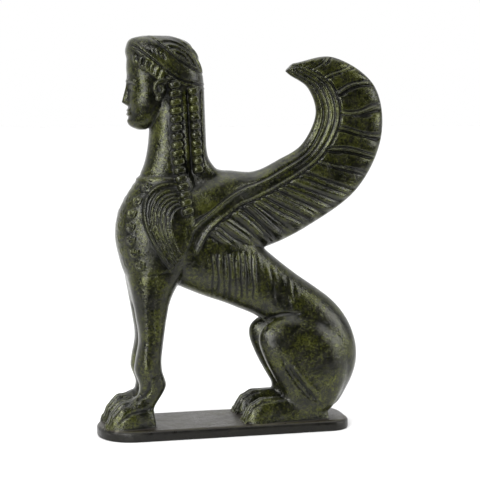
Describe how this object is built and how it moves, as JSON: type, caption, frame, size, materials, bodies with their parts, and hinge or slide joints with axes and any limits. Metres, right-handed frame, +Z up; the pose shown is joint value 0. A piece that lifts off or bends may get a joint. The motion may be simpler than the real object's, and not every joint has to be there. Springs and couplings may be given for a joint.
{
  "type": "sphinx statue",
  "caption": "Seated sphinx with a tall upswept wing, plaited hair and lion's paws, cast in one piece with its low rounded plinth; stands by its own weight.",
  "frame": {"origin": "middle of the plinth's flat underside", "axes": "+Z up; the figure faces -X and its wing sweeps back to +X; Y runs across the narrow depth"},
  "size_m": [0.1275, 0.033, 0.1706],
  "materials": {
    "patinated_bronze": "dark green-black patina mottled with olive, waxed to a semi-gloss, paler on worn edges"
  },
  "bodies": {
    "root": {"sphinx_statue": "patinated_bronze"}
  },
  "joints": []
}
